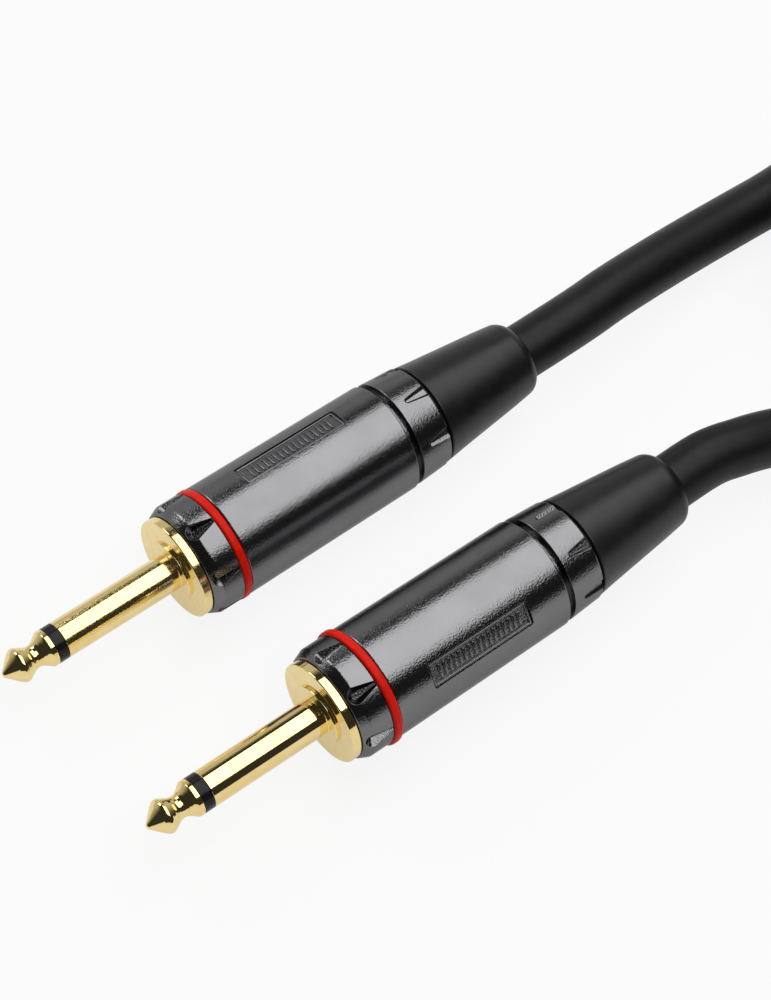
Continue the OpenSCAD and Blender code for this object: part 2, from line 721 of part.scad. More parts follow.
at_plug(0) tip_contact();  // tip_contact_a
at_plug(0) tip_insulator();  // tip_insulator_a
at_plug(0) sleeve_contact();  // sleeve_contact_a
at_plug(0) rear_insulator();  // rear_insulator_a
at_plug(0) tip_terminal();  // tip_terminal_a
at_plug(0) ground_terminal();  // ground_terminal_a
at_plug(0) core_wire();  // core_wire_a
at_plug(0) shield_wire();  // shield_wire_a
at_plug(0) solder();  // solder_a
at_plug(0) liner();  // liner_a
at_plug(0) chuck();  // chuck_a
at_plug(0) shell(0);  // shell_a
at_plug(0) colour_ring(0);  // colour_ring_a
at_plug(0) collar(0);  // collar_a
at_plug(0) boot();  // boot_a
at_plug(0) cable_end();  // cable_end_a
cable_run(route_a);  // cable_run_a
at_plug(1) tip_contact();  // tip_contact_b
at_plug(1) tip_insulator();  // tip_insulator_b
at_plug(1) sleeve_contact();  // sleeve_contact_b
at_plug(1) rear_insulator();  // rear_insulator_b
at_plug(1) tip_terminal();  // tip_terminal_b
at_plug(1) ground_terminal();  // ground_terminal_b
at_plug(1) core_wire();  // core_wire_b
at_plug(1) shield_wire();  // shield_wire_b
at_plug(1) solder();  // solder_b
at_plug(1) liner();  // liner_b
at_plug(1) chuck();  // chuck_b
at_plug(1) shell(1);  // shell_b
at_plug(1) colour_ring(1);  // colour_ring_b
at_plug(1) collar(1);  // collar_b
at_plug(1) boot();  // boot_b
at_plug(1) cable_end();  // cable_end_b
cable_run(route_b);  // cable_run_b
cable_hank();
cable_tie();
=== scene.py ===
"""Instrument cable: two jack plugs side by side on a pale floor, the spare lead tied in a hank."""

import math

import bmesh
import bpy
from mathutils import Matrix, Vector


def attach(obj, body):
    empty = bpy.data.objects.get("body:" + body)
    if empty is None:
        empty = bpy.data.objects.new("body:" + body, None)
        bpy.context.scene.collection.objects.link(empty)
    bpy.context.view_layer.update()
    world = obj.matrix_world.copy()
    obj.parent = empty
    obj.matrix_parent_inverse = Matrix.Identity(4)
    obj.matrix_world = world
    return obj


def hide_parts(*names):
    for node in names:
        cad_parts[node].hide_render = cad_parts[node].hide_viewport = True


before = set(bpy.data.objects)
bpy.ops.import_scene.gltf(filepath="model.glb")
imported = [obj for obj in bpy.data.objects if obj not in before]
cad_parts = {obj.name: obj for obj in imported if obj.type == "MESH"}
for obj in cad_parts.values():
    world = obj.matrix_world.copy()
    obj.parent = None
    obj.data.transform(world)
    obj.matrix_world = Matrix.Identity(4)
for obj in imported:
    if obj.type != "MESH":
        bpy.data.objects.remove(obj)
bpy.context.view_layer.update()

# ---- sizes of the plug, in millimetres from its tip, as in the part ----

MM = 0.001
SLEEVE_R = 3.175
TIP_END, SLEEVE_X, TUBE_END = 8.9, 10.8, 39.9
ROD_R, TUBE_R, HOLE_PLAY = 1.2, 2.2, 0.03
FLANGE_X, FLANGE_END, FLANGE_R = 33.1, 34.7, 8.9
SHANK_END, SHANK_R, SHANK_BORE = 43.7, 6.5, 4.93
RING_X, RING_END, GROOVE_R = 40.25, 41.85, 8.95
SHELL_X, SHELL_END = 34.75, 76.35
SHELL_R, SHELL_REAR_R = 9.95, 9.75
FRONT_BORE, BARREL_BORE, REAR_BORE = 7.05, 7.7, 8.3
NOSE_X, NOSE_END, NOSE_R = 69.4, 76.4, 7.85
COLLAR_X, COLLAR_END = 77.55, 83.75
BOOT_X, BOOT_END, BOOT_BORE = 83.8, 105.0, 5.05
SPIGOT_R, BEAD_R = 6.7, 7.3
NOTCHES = 7
NOTCH_PITCH = 360 / NOTCHES
CABLE_D = 9.8

# Each plug: suffix, tip, turn of its panel from the top towards -Y, how far its ring stands proud
PLUGS = (
    ("a", Vector((-53.25, 18.5, 10.1)), -14, 0.15),
    ("b", Vector((-51.75, -18.2, 10.4)), 58, 0.45),
)

# ---- camera ----

camera = bpy.data.objects.new("camera", bpy.data.cameras.new("camera"))
bpy.context.scene.collection.objects.link(camera)
bpy.context.scene.camera = camera
camera.location = (-0.1790, -0.23785, 0.4303)
camera.rotation_euler = Vector((0.3708, 0.4693, -0.8014)).to_track_quat("-Z", "Y").to_euler()
camera.data.sensor_width = 36
camera.data.lens = 115.2
camera.data.clip_start = 0.01
camera.data.clip_end = 50


# ---- modelling helpers ----


def start_clean():
    """Leaves edit mode and deselects everything."""
    if bpy.context.object and bpy.context.object.mode != "OBJECT":
        bpy.ops.object.mode_set(mode="OBJECT")
    bpy.ops.object.select_all(action="DESELECT")


def only(piece):
    """Selects one piece alone and makes it active."""
    start_clean()
    piece.select_set(True)
    bpy.context.view_layer.objects.active = piece


def apply_place(piece):
    """Puts a piece's place, turn and scale into its mesh."""
    only(piece)
    bpy.ops.object.transform_apply(location=True, rotation=True, scale=True)


def modify(piece, kind, **values):
    """Adds a modifier with its settings and applies it."""
    only(piece)
    modifier = piece.modifiers.new(kind.lower(), kind)
    for name, value in values.items():
        setattr(modifier, name, value)
    bpy.ops.object.modifier_apply(modifier=modifier.name)


def smooth(piece, angle=35):
    only(piece)
    bpy.ops.object.shade_smooth_by_angle(angle=math.radians(angle))


def outward(piece):
    """Merges doubles and turns every face outwards."""
    only(piece)
    bpy.ops.object.mode_set(mode="EDIT")
    bpy.ops.mesh.select_all(action="SELECT")
    bpy.ops.mesh.remove_doubles(threshold=0.0005)
    bpy.ops.mesh.normals_make_consistent(inside=False)
    bpy.ops.object.mode_set(mode="OBJECT")


def pick(piece, test, mode="FACE"):
    """Selects faces, edges or vertices by their place, in edit mode."""
    bpy.ops.mesh.select_mode(type=mode)
    mesh = bmesh.from_edit_mesh(piece.data)
    bpy.ops.mesh.select_all(action="DESELECT")
    group = {"FACE": mesh.faces, "EDGE": mesh.edges, "VERT": mesh.verts}[mode]
    for item in group:
        centre = item.co if mode == "VERT" else sum((v.co for v in item.verts), Vector()) / len(item.verts)
        if test(centre, item):
            item.select = True
    mesh.select_flush_mode()
    bmesh.update_edit_mesh(piece.data)


def upright(edge):
    """How far an edge rises."""
    return abs(edge.verts[0].co.z - edge.verts[1].co.z)


def held(stations, size=0.05):
    """Adds a ring near both ends of each long stretch, so that its shading stays flat."""
    rings = [stations[0]]
    for (x0, r0), (x1, r1) in zip(stations, stations[1:]):
        length = math.hypot(x1 - x0, r1 - r0)
        if length > 6 * size:
            for share in (size / length, 1 - size / length):
                rings.append((x0 + (x1 - x0) * share, r0 + (r1 - r0) * share))
        rings.append((x1, r1))
    return rings


def turned(name, stations, sides=96, closed=False):
    """Lathe work along X: a circle drawn out station by station, each an (x, radius) pair."""
    start_clean()
    stations = held(stations)
    (x, r), rest = stations[0], stations[1:]
    bpy.ops.mesh.primitive_circle_add(vertices=sides, radius=max(r, 0.01), rotation=(0, math.pi / 2, 0))
    piece = bpy.context.object
    piece.name = name
    bpy.ops.object.transform_apply(location=False, rotation=True, scale=False)
    bpy.ops.object.mode_set(mode="EDIT")
    bpy.ops.mesh.select_all(action="SELECT")
    bpy.ops.transform.translate(value=(x, 0, 0))
    if not closed:
        bpy.ops.mesh.edge_face_add()
    bpy.ops.mesh.select_mode(type="EDGE")
    extrude = bpy.ops.mesh.extrude_edges_move if closed else bpy.ops.mesh.extrude_region_move
    for next_x, next_r in rest:
        k = max(next_r, 0.01) / max(r, 0.01)
        extrude(TRANSFORM_OT_translate={"value": (next_x - x, 0, 0)})
        bpy.ops.transform.resize(value=(1, k, k), center_override=(next_x, 0, 0))
        x, r = next_x, next_r
    if closed:
        bpy.ops.mesh.select_all(action="DESELECT")
        bpy.ops.mesh.select_non_manifold()
        bpy.ops.mesh.bridge_edge_loops()
    bpy.ops.object.mode_set(mode="OBJECT")
    outward(piece)
    return piece


def arc(x, r, size, start, end, steps=6):
    """Stations of a rounding: centre (x, r), angles in degrees from the outward radius towards +X."""
    turns = [math.radians(start + (end - start) * k / steps) for k in range(steps + 1)]
    return [(x + size * math.sin(turn), r + size * math.cos(turn)) for turn in turns]


def cut(piece, tool):
    """Takes a cutter out of a piece and deletes the cutter."""
    modify(piece, "BOOLEAN", operation="DIFFERENCE", object=tool, solver="EXACT")
    bpy.data.objects.remove(tool, do_unlink=True)


def copy_of(piece, name):
    twin = piece.copy()
    twin.data = piece.data.copy()
    twin.name = name
    bpy.context.scene.collection.objects.link(twin)
    return twin


def join(pieces):
    only(pieces[0])
    for piece in pieces:
        piece.select_set(True)
    bpy.ops.object.join()
    return bpy.context.object


def around(tool, count, first=0):
    """A ring of copies of a tool around the X axis, joined."""
    copies = []
    for k in range(count):
        twin = copy_of(tool, f"{tool.name}_{k}")
        twin.rotation_euler = (math.radians(first + 360 * k / count), 0, 0)
        apply_place(twin)
        copies.append(twin)
    bpy.data.objects.remove(tool, do_unlink=True)
    return join(copies)


# ---- materials ----


def new_material(name, **inputs):
    material = bpy.data.materials.new(name)
    material.use_nodes = True
    shader = material.node_tree.nodes["Principled BSDF"]
    for socket, value in inputs.items():
        shader.inputs[socket.replace("_", " ")].default_value = value
    return material


def grain_group():
    """Fine noise on Object coordinates: a colour mask and a height, at a size in millimetres."""
    group = bpy.data.node_groups.new("fine_grain", "ShaderNodeTree")
    for socket in ("Size mm", "Stretch", "Rough"):
        group.interface.new_socket(socket, in_out="INPUT", socket_type="NodeSocketFloat")
    group.interface.new_socket("Mask", in_out="OUTPUT", socket_type="NodeSocketFloat")
    nodes, links = group.nodes, group.links
    inputs = nodes.new("NodeGroupInput")
    outputs = nodes.new("NodeGroupOutput")
    coords = nodes.new("ShaderNodeTexCoord")
    scale = nodes.new("ShaderNodeMath")
    scale.operation = "DIVIDE"
    scale.inputs[0].default_value = 1000
    links.new(inputs.outputs["Size mm"], scale.inputs[1])
    stretch = nodes.new("ShaderNodeCombineXYZ")
    links.new(inputs.outputs["Stretch"], stretch.inputs["X"])
    stretch.inputs["Y"].default_value = 1
    stretch.inputs["Z"].default_value = 1
    multiply = nodes.new("ShaderNodeVectorMath")
    multiply.operation = "MULTIPLY"
    links.new(coords.outputs["Object"], multiply.inputs[0])
    links.new(stretch.outputs[0], multiply.inputs[1])
    noise = nodes.new("ShaderNodeTexNoise")
    noise.inputs["Detail"].default_value = 3
    links.new(multiply.outputs[0], noise.inputs["Vector"])
    links.new(scale.outputs[0], noise.inputs["Scale"])
    links.new(inputs.outputs["Rough"], noise.inputs["Roughness"])
    links.new(noise.outputs["Fac"], outputs.inputs["Mask"])
    return group


GRAIN = grain_group()


def add_grain(material, size, stretch=1, rough=0.5):
    node = material.node_tree.nodes.new("ShaderNodeGroup")
    node.node_tree = GRAIN
    node.inputs["Size mm"].default_value = size
    node.inputs["Stretch"].default_value = stretch
    node.inputs["Rough"].default_value = rough
    return node.outputs["Mask"]


def vary(material, mask, socket, low, high, start=0.3, end=0.7):
    """Drives a number or colour of the shader between two values by a mask."""
    nodes, links = material.node_tree.nodes, material.node_tree.links
    target = nodes["Principled BSDF"].inputs[socket]
    ramp = nodes.new("ShaderNodeMapRange")
    ramp.inputs["From Min"].default_value = start
    ramp.inputs["From Max"].default_value = end
    links.new(mask, ramp.inputs["Value"])
    if not isinstance(low, tuple):
        ramp.inputs["To Min"].default_value = low
        ramp.inputs["To Max"].default_value = high
        links.new(ramp.outputs[0], target)
        return
    blend = nodes.new("ShaderNodeMix")
    blend.data_type = "RGBA"
    links.new(ramp.outputs[0], blend.inputs[0])
    blend.inputs["A"].default_value = (*low, 1)
    blend.inputs["B"].default_value = (*high, 1)
    links.new(blend.outputs["Result"], target)


def relief(material, layers, edge=0):
    """Bumps, each a (mask, height in mm) pair, over edges rounded by a radius in mm."""
    nodes, links = material.node_tree.nodes, material.node_tree.links
    normal = None
    if edge:
        rounding = nodes.new("ShaderNodeBevel")
        rounding.samples = 6
        rounding.inputs["Radius"].default_value = edge * MM
        normal = rounding.outputs[0]
    for mask, height in layers:
        bump = nodes.new("ShaderNodeBump")
        bump.inputs["Distance"].default_value = height * MM
        links.new(mask, bump.inputs["Height"])
        if normal:
            links.new(normal, bump.inputs["Normal"])
        normal = bump.outputs[0]
    links.new(normal, nodes["Principled BSDF"].inputs["Normal"])


def gold(name, pits):
    """Polished plating, with more or fewer dull pits."""
    material = new_material(name, Metallic=1, Roughness=0.14)
    wear = add_grain(material, 2.4)
    vary(material, wear, "Base Color", (0.90, 0.69, 0.29), (0.95, 0.77, 0.37))
    fine = add_grain(material, 0.3, rough=0.7)
    vary(material, fine, "Roughness", 0.05, 0.05 + pits, 0.35, 0.75)
    relief(material, [(fine, 0.02 * pits), (wear, 0.004)], edge=0.05)
    return material


GOLD = gold("gold_plate", 0.04)
GOLD_WORN = gold("gold_plate_worn", 0.22)

LACQUER = new_material("black_lacquer", Metallic=1, Roughness=0.17, Specular_Tint=(0.6, 0.6, 0.6, 1))
peel = add_grain(LACQUER, 0.28, rough=0.4)
broad = add_grain(LACQUER, 6)
vary(LACQUER, broad, "Base Color", (0.180, 0.180, 0.185), (0.200, 0.200, 0.205))
relief(LACQUER, [(peel, 0.038)], edge=0.1)

RING_RUBBER = new_material("red_rubber", Roughness=0.42, Specular_IOR_Level=0.12)
soft = add_grain(RING_RUBBER, 1.2)
vary(RING_RUBBER, soft, "Base Color", (0.82, 0.010, 0.003), (0.95, 0.018, 0.006))
relief(RING_RUBBER, [(add_grain(RING_RUBBER, 0.3), 0.006)])

BOOT_RUBBER = new_material("boot_rubber", Roughness=0.3, Specular_IOR_Level=0.45)
bloom = add_grain(BOOT_RUBBER, 3)
vary(BOOT_RUBBER, bloom, "Base Color", (0.005, 0.005, 0.0055), (0.009, 0.009, 0.0095))
vary(BOOT_RUBBER, add_grain(BOOT_RUBBER, 1.5), "Roughness", 0.32, 0.39)
relief(BOOT_RUBBER, [(add_grain(BOOT_RUBBER, 0.25, rough=0.6), 0.012)])

JACKET = new_material("cable_jacket", Roughness=0.4, Specular_IOR_Level=0.25)
vary(JACKET, add_grain(JACKET, 4), "Base Color", (0.006, 0.006, 0.0065), (0.011, 0.011, 0.0115))
vary(JACKET, add_grain(JACKET, 1), "Roughness", 0.37, 0.46)
relief(JACKET, [(add_grain(JACKET, 0.3, rough=0.6), 0.015), (add_grain(JACKET, 7), 0.05)])

BLACK_PLASTIC = new_material("insulator_plastic", Roughness=0.2, Specular_IOR_Level=0.2)
vary(BLACK_PLASTIC, add_grain(BLACK_PLASTIC, 1), "Base Color", (0.008, 0.008, 0.009), (0.014, 0.014, 0.015))
relief(BLACK_PLASTIC, [(add_grain(BLACK_PLASTIC, 0.5), 0.004)])

CHUCK_PLASTIC = new_material("chuck_plastic", Roughness=0.5)
vary(CHUCK_PLASTIC, add_grain(CHUCK_PLASTIC, 0.8), "Base Color", (0.03, 0.03, 0.03), (0.05, 0.05, 0.05))

LINER = new_material("clear_liner", Roughness=0.35)
vary(LINER, add_grain(LINER, 2), "Base Color", (0.68, 0.68, 0.63), (0.78, 0.78, 0.74))

CORE = new_material("core_insulation", Roughness=0.45)
vary(CORE, add_grain(CORE, 1), "Base Color", (0.78, 0.76, 0.68), (0.86, 0.84, 0.77))

COPPER = new_material("copper_strand", Metallic=1, Roughness=0.3)
strands = add_grain(COPPER, 0.25, stretch=0.1)
vary(COPPER, strands, "Base Color", (0.62, 0.30, 0.16), (0.85, 0.50, 0.32))
relief(COPPER, [(strands, 0.08)])

SOLDER = new_material("solder", Metallic=1, Roughness=0.25)
vary(SOLDER, add_grain(SOLDER, 0.8), "Base Color", (0.58, 0.58, 0.57), (0.72, 0.72, 0.71))

STRAP = new_material("strap_fabric", Roughness=0.85)
fuzz = add_grain(STRAP, 0.35, rough=0.8)
vary(STRAP, fuzz, "Base Color", (0.012, 0.012, 0.013), (0.05, 0.05, 0.052))
relief(STRAP, [(fuzz, 0.25)])


# ---- plug pieces, modelled once in millimetres with the tip at the origin ----


def contact_tip():
    """Ball tip with its waist, and the rod that carries it through the plug."""
    stations = [(0, 0.0), (0.02, 0.32), (0.10, 0.46), (0.25, 0.60)]
    stations += [(2.25, 2.52), (2.55, 2.74)]
    stations += arc(3.2, 2.1, 0.9, -25, 40, 6)
    stations += [(4.35, 2.52), (4.9, 2.18), (5.35, 2.01), (5.8, 1.95), (6.25, 2.0), (6.8, 2.24)]
    stations += [(7.35, 2.62), (7.72, 2.92), (7.86, 3.02), (8.0, 3.12), (8.12, SLEEVE_R)]
    stations += [(TIP_END - 0.08, SLEEVE_R), (TIP_END, SLEEVE_R - 0.08), (TIP_END, ROD_R)]
    stations += [(47.0, ROD_R), (47.0, 1.7), (47.35, 1.65), (47.5, 1.3), (47.5, 0)]
    piece = turned("contact_tip", stations)
    smooth(piece, 32)
    return piece


def contact_ring():
    """Black ring and the tube behind it."""
    edge, bore = 0.06, ROD_R + HOLE_PLAY
    stations = [(TIP_END, bore), (TIP_END, SLEEVE_R - edge), (TIP_END + edge, SLEEVE_R)]
    stations += [(SLEEVE_X - edge, SLEEVE_R), (SLEEVE_X, SLEEVE_R - edge), (SLEEVE_X, TUBE_R)]
    stations += [(TUBE_END, TUBE_R), (TUBE_END, bore)]
    piece = turned("contact_ring", stations, closed=True)
    smooth(piece)
    return piece


def contact_sleeve():
    """Sleeve with its thin boss and the flange, and the shank that takes the shell's thread."""
    edge, bore, rim = 0.08, TUBE_R + HOLE_PLAY, 0.2
    stations = [(SLEEVE_X, bore), (SLEEVE_X, SLEEVE_R - edge), (SLEEVE_X + edge, SLEEVE_R)]
    stations += [(32.5, SLEEVE_R), (32.6, 3.26)] + arc(32.75, 5.05, 0.15, -90, 0, 3) + [(FLANGE_X, 5.2)]
    stations += arc(FLANGE_X + rim, FLANGE_R - rim, rim, -90, 0, 4)
    stations += arc(FLANGE_END - rim, FLANGE_R - rim, rim, 0, 90, 4)
    stations += [(FLANGE_END, SHANK_R), (35.3, SHANK_R), (SHANK_END - 0.5, 6.45), (SHANK_END, 6.2)]
    stations += [(SHANK_END, SHANK_BORE), (TUBE_END, SHANK_BORE), (TUBE_END, bore)]
    piece = turned("contact_sleeve", stations, sides=128, closed=True)
    smooth(piece, 30)
    return piece


def thread(name, x, length, radius, depth=0.45, pitch=1.0):
    """A screw thread: a triangle wound along X."""
    start_clean()
    bpy.ops.mesh.primitive_circle_add(vertices=3, radius=depth, rotation=(math.pi / 2, 0, 0))
    piece = bpy.context.object
    piece.name = name
    apply_place(piece)
    bpy.ops.object.mode_set(mode="EDIT")
    bpy.ops.mesh.select_all(action="SELECT")
    bpy.ops.transform.translate(value=(x + pitch / 2, 0, radius - depth))
    bpy.ops.object.mode_set(mode="OBJECT")
    modify(
        piece, "SCREW", axis="X", angle=math.tau, screw_offset=pitch, iterations=int(length / pitch) - 1,
        steps=64, render_steps=64, use_smooth_shade=False,
    )
    only(piece)
    bpy.ops.object.mode_set(mode="EDIT")
    bpy.ops.mesh.select_mode(type="EDGE")
    bpy.ops.mesh.select_all(action="DESELECT")
    bpy.ops.mesh.select_non_manifold()
    bpy.ops.mesh.edge_face_add()
    bpy.ops.object.mode_set(mode="OBJECT")
    outward(piece)
    smooth(piece, 30)
    return piece


def notch_tool(name, x, length, front_z, rear_z, front_w, rear_w, lean):
    """Cutter of a notch at the top: leaning walls beside a floor that changes its width, round in front."""
    height = 2.2
    start_clean()
    bpy.ops.mesh.primitive_cone_add(
        vertices=64, radius1=front_w / 2, radius2=front_w / 2 + lean * height, depth=height,
        location=(0, 0, height / 2),
    )
    tool = bpy.context.object
    tool.name = name
    apply_place(tool)
    bpy.ops.object.mode_set(mode="EDIT")
    bpy.ops.mesh.select_all(action="SELECT")
    bpy.ops.mesh.bisect(plane_co=(0, 0, 0), plane_no=(1, 0, 0), clear_outer=True)
    pick(tool, lambda c, edge: all(abs(v.co.x) < 0.001 for v in edge.verts), "EDGE")
    bpy.ops.mesh.extrude_edges_move(TRANSFORM_OT_translate={"value": (length, 0, 0)})
    bpy.ops.mesh.edge_face_add()
    for side in (-1, 1):
        pick(tool, lambda c, vert: c.x > length - 0.001 and c.y * side > 0.001, "VERT")
        bpy.ops.transform.translate(value=(0, side * (rear_w - front_w) / 2, 0))
    bpy.ops.object.mode_set(mode="OBJECT")
    outward(tool)
    tool.rotation_euler = (0, math.atan2(front_z - rear_z, length), 0)
    tool.location = (x, 0, front_z)
    apply_place(tool)
    return tool


def crown_tool():
    """Cutter of a crown notch: deep and wide in front, narrow and shallow at the ring."""
    x = SHELL_X + 1.95
    return notch_tool("crown_tool", x, RING_X + 0.1 - x, SHELL_R - 1.35, SHELL_R - 0.4, 1.15, 0.3, 0.7)


def panel_tool():
    """Cutter of the recessed panel: gaps in its floor leave a thin frame round a plain row of bars."""
    x, length, width, floor_z, height, taper = 48.85, 20.1, 4.6, 9.15, 1.5, 0.16
    inset, frame_w, rim, bars, bar_w, bar_h = 0.45, 0.32, 1.1, 17, 0.46, 0.34
    middle = x + length / 2
    start_clean()
    bpy.ops.mesh.primitive_cube_add(size=1, location=(middle, 0, floor_z + height / 2))
    tool = bpy.context.object
    tool.name = "panel_tool"
    tool.scale = (length, width, height)
    apply_place(tool)
    bpy.ops.object.mode_set(mode="EDIT")
    pick(tool, lambda c, edge: upright(edge) > 1, "EDGE")
    bpy.ops.mesh.bevel(offset=0.35, segments=2)
    pick(tool, lambda c, face: face.normal.z < -0.9)
    smaller = (1 - taper / length, 1 - taper / width, 1)
    bpy.ops.transform.resize(value=smaller, center_override=(middle, 0, floor_z))
    bpy.ops.object.mode_set(mode="OBJECT")
    long_y, end_x = width / 2 - inset, length / 2 - inset
    pitch = (length - 2 * rim) / (bars + 1)
    raised = [(middle, side * long_y, 2 * end_x, frame_w) for side in (-1, 1)]
    raised += [(middle + side * end_x, 0, frame_w, 2 * long_y + frame_w) for side in (-1, 1)]
    raised += [(x + rim + (k + 1) * pitch, 0, bar_w, width - 2 * rim) for k in range(bars)]
    blocks = []
    for at_x, at_y, size_x, size_y in raised:
        start_clean()
        bpy.ops.mesh.primitive_cube_add(size=1, location=(at_x, at_y, floor_z))
        block = bpy.context.object
        block.scale = (size_x, size_y, 2 * bar_h)
        apply_place(block)
        modify(block, "BEVEL", width=0.13, segments=3, limit_method="ANGLE")
        blocks.append(block)
    for block in blocks:
        cut(tool, block)
    return tool


def shell():
    """Die-cast shell: notched crown, ring groove and barrel with its recessed panel."""
    stations = [(SHELL_X, FRONT_BORE), (SHELL_X, 9.02), (SHELL_X + 0.05, 9.16), (SHELL_X + 0.15, 9.25)]
    stations += arc(SHELL_X + 1.85, SHELL_R - 1, 1, -25, 0, 5)
    stations += [(RING_X - 0.12, SHELL_R), (RING_X, SHELL_R - 0.1), (RING_X, GROOVE_R), (RING_END, GROOVE_R)]
    stations += arc(RING_END + 0.35, SHELL_R - 0.35, 0.35, -90, 0, 4)
    stations += [(RING_END + 8, 9.90), (RING_END + 16, 9.856), (RING_END + 26, 9.80)]
    stations += arc(SHELL_END - 0.2, SHELL_REAR_R - 0.2, 0.2, 0, 90, 4)
    stations += [(SHELL_END, REAR_BORE), (NOSE_X - 0.05, REAR_BORE), (NOSE_X - 0.05, BARREL_BORE)]
    stations += [(44.6, BARREL_BORE), (44.0, FRONT_BORE)]
    piece = turned("shell", stations, sides=252, closed=True)
    cut(piece, around(crown_tool(), NOTCHES, NOTCH_PITCH / 2))
    cut(piece, panel_tool())
    smooth(piece, 28)
    return piece


def colour_ring(name, proud):
    """Rubber ring in the shell's groove, rounded on the outside."""
    outer, inner, play, size = SHELL_R + proud, GROOVE_R + 0.03, 0.03, 0.45
    stations = [(RING_X + play, inner)]
    stations += arc(RING_X + play + size, outer - size, size, -90, 0, 6)
    stations += arc(RING_END - play - size, outer - size, size, 0, 90, 6)
    stations += [(RING_END - play, inner)]
    piece = turned(name, stations, sides=168, closed=True)
    smooth(piece, 40)
    return piece


def collar_tool():
    """Cutter of a collar notch: wide and deep at the rear edge."""
    return notch_tool("collar_tool", COLLAR_X + 2.3, 4.5, 9.05, 8.5, 0.35, 1.2, 1.1)


def collar():
    """Notched gland nut that screws into the shell and holds the boot."""
    stations = [(NOSE_X, 7.0), (NOSE_X, 7.6), (NOSE_X + 0.4, NOSE_R), (NOSE_END, NOSE_R)]
    stations += [(NOSE_END, 8.3), (NOSE_END + 0.05, 8.35), (COLLAR_X, 8.35)]
    stations += arc(COLLAR_X + 0.15, 9.4, 0.15, -90, 0, 4)
    stations += arc(COLLAR_END - 0.32, 8.87, 0.32, 3, 90, 5)
    bore, groove = SPIGOT_R + 0.1, BEAD_R + 0.2
    stations += [(COLLAR_END, bore), (80.9, bore), (80.9, groove), (79.7, groove)]
    stations += [(79.7, bore), (78.7, bore), (78.7, 5.8), (76.7, 7.0)]
    piece = turned("collar", stations, sides=252, closed=True)
    cut(piece, around(collar_tool(), NOTCHES, NOTCH_PITCH / 2))
    smooth(piece, 28)
    return piece


def boot():
    """Rubber boot, snapped into the collar and rounded at its rear end."""
    stations = [(78.8, BOOT_BORE), (78.8, SPIGOT_R), (79.8, SPIGOT_R), (80.0, BEAD_R), (80.8, BEAD_R)]
    stations += [(80.8, SPIGOT_R), (BOOT_X, SPIGOT_R)]
    stations += [(BOOT_X, 8.3), (BOOT_X + 0.4, 8.3)] + arc(BOOT_X + 0.65, 8.68, 0.25, -90, 0, 5)
    stations += [(BOOT_X + k, 8.95 - k * 0.108) for k in (4, 8, 12, 16)]
    stations += arc(BOOT_END - 2.14, 4.5, 2.3, 6.5, 68, 10)
    stations += [(BOOT_END, 5.24), (BOOT_END - 0.05, 5.12), (BOOT_END - 0.3, BOOT_BORE)]
    piece = turned("boot", stations, sides=128, closed=True)
    smooth(piece, 40)
    return piece


# ---- the pieces on both plugs ----


def finish_piece(piece, body, material, slot, *nodes):
    """Gives a finished piece its material and body, and says which solids it stands for."""
    piece.data.materials.clear()
    piece.data.materials.append(material)
    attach(piece, body)
    if nodes:
        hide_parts(*nodes)


def on_plug(model, plug, turn=0):
    """A copy of a plug piece in its place on one plug, in metres."""
    suffix, tip = plug[:2]
    piece = copy_of(model, f"{model.name}_{suffix}")
    piece.rotation_euler = (math.radians(turn), 0, 0)
    piece.location = tip * MM
    piece.scale = (MM, MM, MM)
    apply_place(piece)
    return piece


MODELS = {
    "tip": contact_tip(),
    "ring": contact_ring(),
    "sleeve": contact_sleeve(),
    "shank_thread": thread("shank_thread", 35.4, 8, 6.95),
    "shell": shell(),
    "collar": collar(),
    "collar_thread": thread("collar_thread", NOSE_X + 0.5, 6.4, 8.22),
    "boot": boot(),
}


def dress(plug):
    """Puts every outer piece on one plug, with its body and the solid it stands for."""
    suffix, _, turn, proud = plug
    plate = GOLD_WORN if suffix == "a" else GOLD
    shell_body, collar_body = f"shell_{suffix}", f"collar_{suffix}"
    ring = colour_ring("colour_ring", proud)
    rows = (
        (MODELS["tip"], 0, "root", GOLD, "gold", "tip_contact"),
        (MODELS["ring"], 0, "root", BLACK_PLASTIC, "black_insulator", "tip_insulator"),
        (MODELS["sleeve"], 0, "root", plate, "gold", "sleeve_contact"),
        (MODELS["shank_thread"], 0, "root", GOLD, "gold", None),
        (MODELS["shell"], turn, shell_body, LACQUER, "black_lacquer", "shell"),
        (MODELS["collar"], turn, collar_body, LACQUER, "black_lacquer", "collar"),
        (MODELS["collar_thread"], turn, collar_body, LACQUER, "black_lacquer", None),
        (MODELS["boot"], 0, f"boot_{suffix}", BOOT_RUBBER, "black_rubber", "boot"),
        (ring, 0, shell_body, RING_RUBBER, "red_rubber", "colour_ring"),
    )
    for model, angle, body, material, slot, node in rows:
        nodes = [f"{node}_{suffix}"] if node else []
        finish_piece(on_plug(model, plug, angle), body, material, slot, *nodes)
    bpy.data.objects.remove(ring, do_unlink=True)


for plug in PLUGS:
    dress(plug)

for model in MODELS.values():
    bpy.data.objects.remove(model, do_unlink=True)

INNER = {
    "rear_insulator": BLACK_PLASTIC,
    "tip_terminal": GOLD,
    "ground_terminal": GOLD,
    "core_wire": CORE,
    "shield_wire": COPPER,
    "solder": SOLDER,
    "liner": LINER,
    "chuck": CHUCK_PLASTIC,
    "cable_end": JACKET,
}
for node, material in INNER.items():
    for suffix in "ab":
        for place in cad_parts[f"{node}_{suffix}"].material_slots:
            place.material = material

# ---- cable and tie ----

